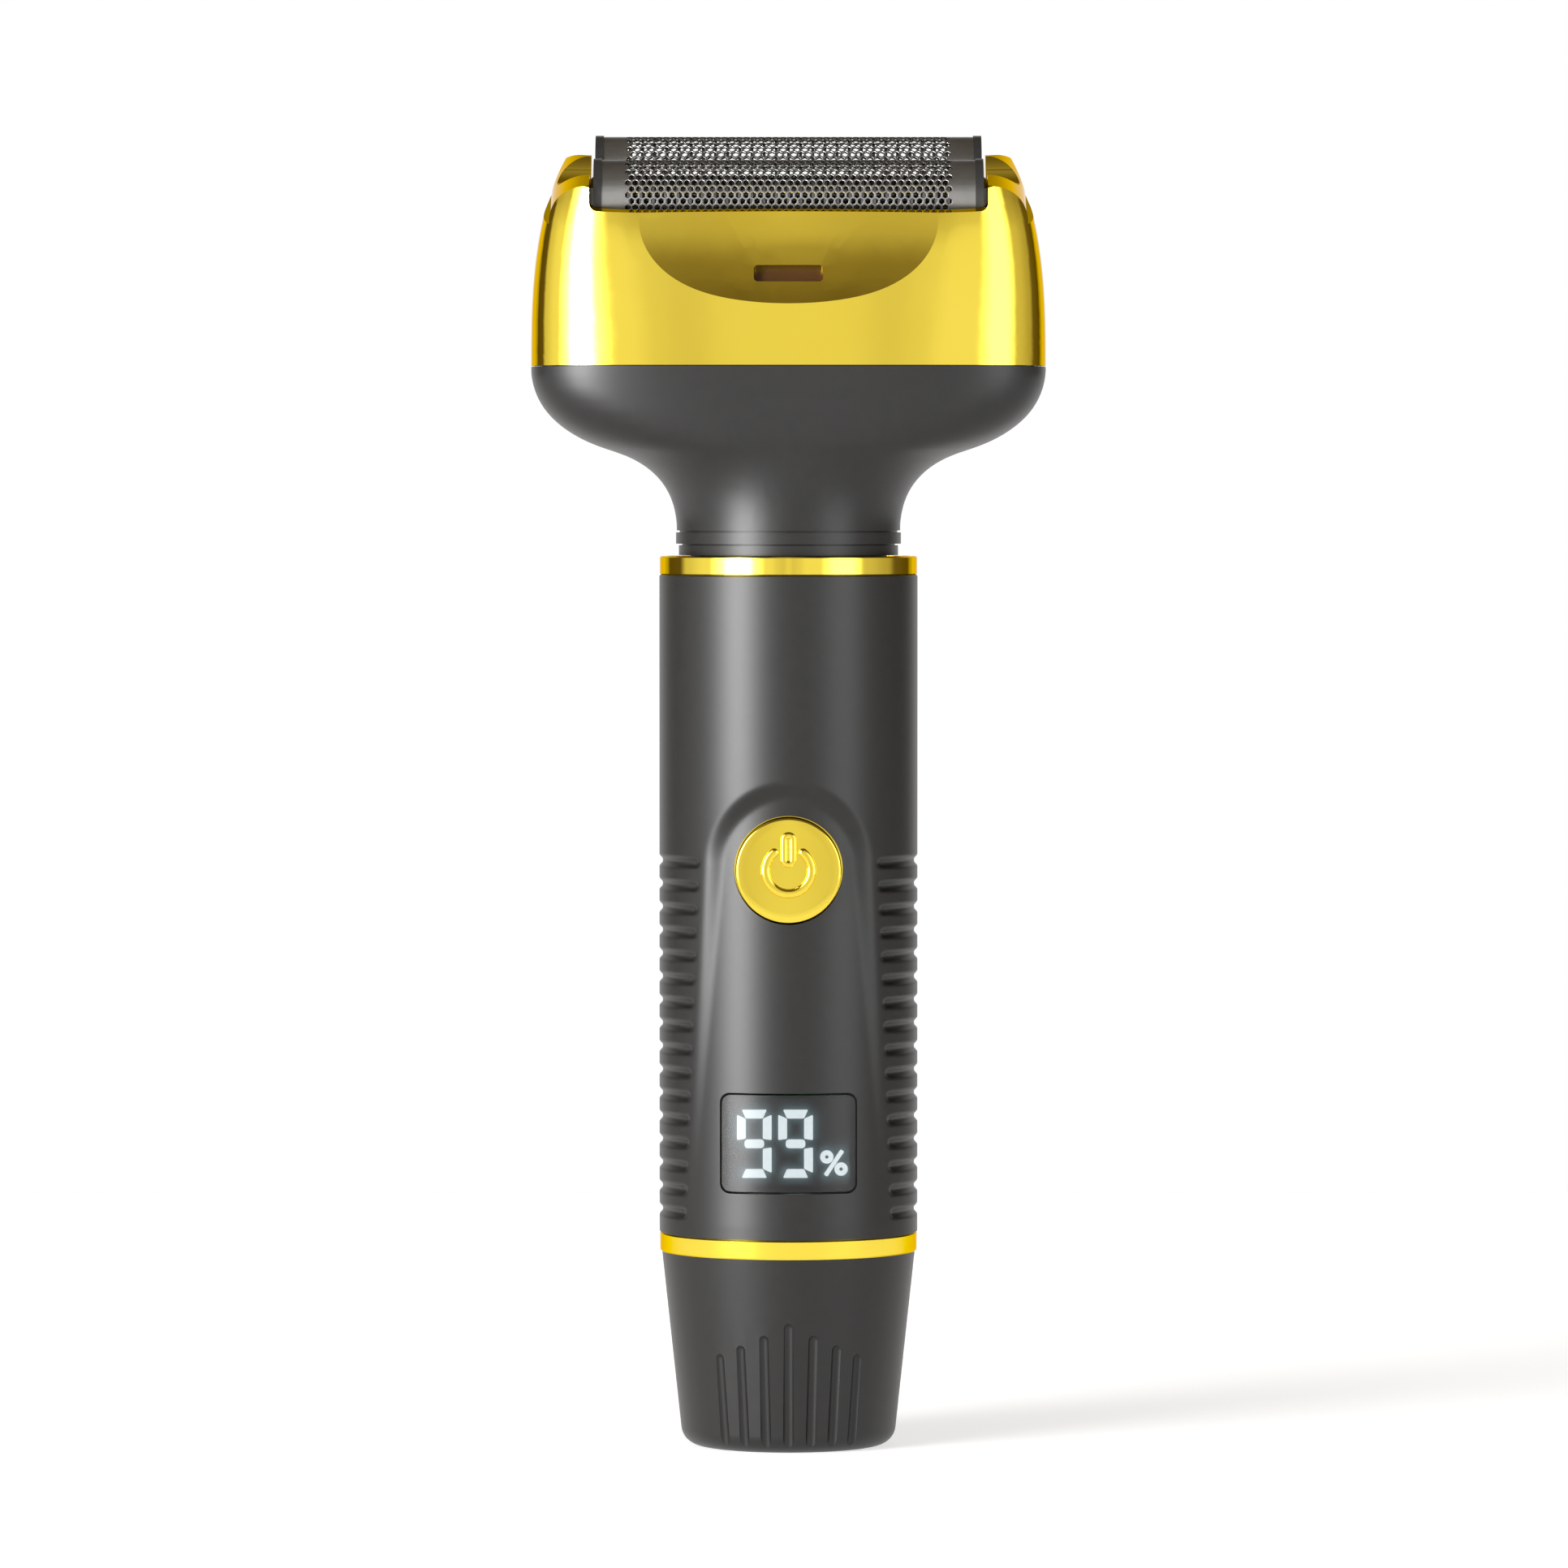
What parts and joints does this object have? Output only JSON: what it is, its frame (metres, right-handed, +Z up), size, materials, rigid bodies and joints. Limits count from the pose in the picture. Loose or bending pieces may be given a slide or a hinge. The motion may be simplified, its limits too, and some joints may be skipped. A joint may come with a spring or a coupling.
{
  "type": "foil shaver",
  "caption": "Cordless shaver: round black handle with gold trim, button and charge display, under a T-shaped gold head with twin tilted foils.",
  "frame": {"origin": "middle of the flat foot of the bottom cap, on the handle's axis", "axes": "+Z up the handle to the head, -Y the front with the button and display, +X to the right seen from the front"},
  "size_m": [0.0632, 0.0318, 0.1615],
  "materials": {
    "soft_black": "satin soft-touch",
    "gold_plate": "gold electroplate, polished",
    "black_plastic": "satin",
    "natural_plastic": "satin",
    "foil_steel": "fine brushed",
    "steel": "machined",
    "copper": "enamelled wire",
    "bronze": "sintered",
    "magnet": "dull",
    "rubber_seal": "matt",
    "battery_sleeve": "shrink sleeve",
    "board_green": "solder mask",
    "chip_black": "moulded",
    "smoked_lens": "gloss, smoked",
    "display_body": "satin"
  },
  "bodies": {
    "handle": {"handle_tube": "soft_black", "upper_trim_ring": "gold_plate", "lower_trim_ring": "gold_plate", "head_socket": "black_plastic", "bottom_cap": "soft_black", "display_window": "smoked_lens", "display_module": "display_body", "main_board": "board_green", "board_screws": "steel", "board_chips": "chip_black", "power_switch": "black_plastic", "battery_cell": "battery_sleeve", "battery_tabs": "steel", "chassis": "black_plastic", "motor_can": "steel", "motor_end_cap": "natural_plastic", "motor_magnets": "magnet", "motor_screws": "steel", "charging_board": "board_green", "charging_socket": "steel", "socket_seal_ring": "rubber_seal", "bottom_seal_ring": "rubber_seal"},
    "button": {"power_button": "gold_plate", "switch_plunger": "natural_plastic"},
    "rotor": {"motor_shaft": "steel", "rotor_core": "steel", "rotor_coils": "copper", "commutator": "copper", "drive_dog": "natural_plastic"},
    "head": {"head_housing": "soft_black", "neck_collar": "soft_black", "neck_seal_ring": "rubber_seal", "shaft_support": "black_plastic", "shaft_bush": "bronze", "support_screws": "steel", "guide_rods": "steel", "hair_deck": "black_plastic"},
    "spindle": {"drive_shaft": "black_plastic", "eccentric": "steel"},
    "bridge": {"drive_bridge": "natural_plastic", "front_cutter_springs": "steel", "rear_cutter_springs": "steel"},
    "front_cutter": {"front_cutter_blades": "steel", "front_cutter_holder": "natural_plastic"},
    "rear_cutter": {"rear_cutter_blades": "steel", "rear_cutter_holder": "natural_plastic"},
    "cassette": {"foil_shell": "gold_plate", "foil_frame": "black_plastic", "front_foil_springs": "steel", "rear_foil_springs": "steel"},
    "front_foil_unit": {"front_foil": "foil_steel", "front_foil_carrier": "black_plastic"},
    "rear_foil_unit": {"rear_foil": "foil_steel", "rear_foil_carrier": "black_plastic"}
  },
  "joints": [
    {"name": "button_press", "type": "slide", "parent": "handle", "child": "button", "axis": [0, 1, 0], "range_m": [0, 0.0006], "stiffness_N_per_m": 2000, "springref_m": -0.0003},
    {"name": "motor_spin", "type": "hinge", "parent": "handle", "child": "rotor", "pos_m": [0, 0, 0.09], "axis": [0, 0, 1], "continuous": true},
    {"name": "head_pull", "type": "slide", "parent": "handle", "child": "head", "axis": [0, 0, 1], "range_m": [0, 0.015]},
    {"name": "spindle_spin", "type": "hinge", "parent": "head", "child": "spindle", "pos_m": [0, 0, 0.115], "axis": [0, 0, 1], "continuous": true},
    {"name": "bridge_stroke", "type": "slide", "parent": "head", "child": "bridge", "axis": [1, 0, 0], "range_m": [-0.0009, 0.0009]},
    {"name": "cassette_lift", "type": "slide", "parent": "head", "child": "cassette", "axis": [0, -0.2622, 0.965], "range_m": [0, 0.0065]},
    {"name": "front_cutter_float", "type": "slide", "parent": "bridge", "child": "front_cutter", "axis": [0, -0.2622, 0.965], "range_m": [-0.0012, 0], "stiffness_N_per_m": 1200, "springref_m": 0.0005, "deforming": ["front_cutter_springs"]},
    {"name": "rear_cutter_float", "type": "slide", "parent": "bridge", "child": "rear_cutter", "axis": [0, -0.2622, 0.965], "range_m": [-0.0012, 0], "stiffness_N_per_m": 1200, "springref_m": 0.0005, "deforming": ["rear_cutter_springs"]},
    {"name": "front_foil_float", "type": "slide", "parent": "cassette", "child": "front_foil_unit", "axis": [0, -0.2622, 0.965], "range_m": [-0.0012, 0], "stiffness_N_per_m": 300, "springref_m": 0.0005, "deforming": ["front_foil_springs"]},
    {"name": "rear_foil_float", "type": "slide", "parent": "cassette", "child": "rear_foil_unit", "axis": [0, -0.2622, 0.965], "range_m": [-0.0012, 0], "stiffness_N_per_m": 300, "springref_m": 0.0005, "deforming": ["rear_foil_springs"]}
  ],
  "couplings": [
    {"joint": "spindle_spin", "follows": "motor_spin", "ratio": 1},
    {"joint": "front_foil_float", "follows": "front_cutter_float", "ratio": 1},
    {"joint": "rear_foil_float", "follows": "rear_cutter_float", "ratio": 1}
  ]
}
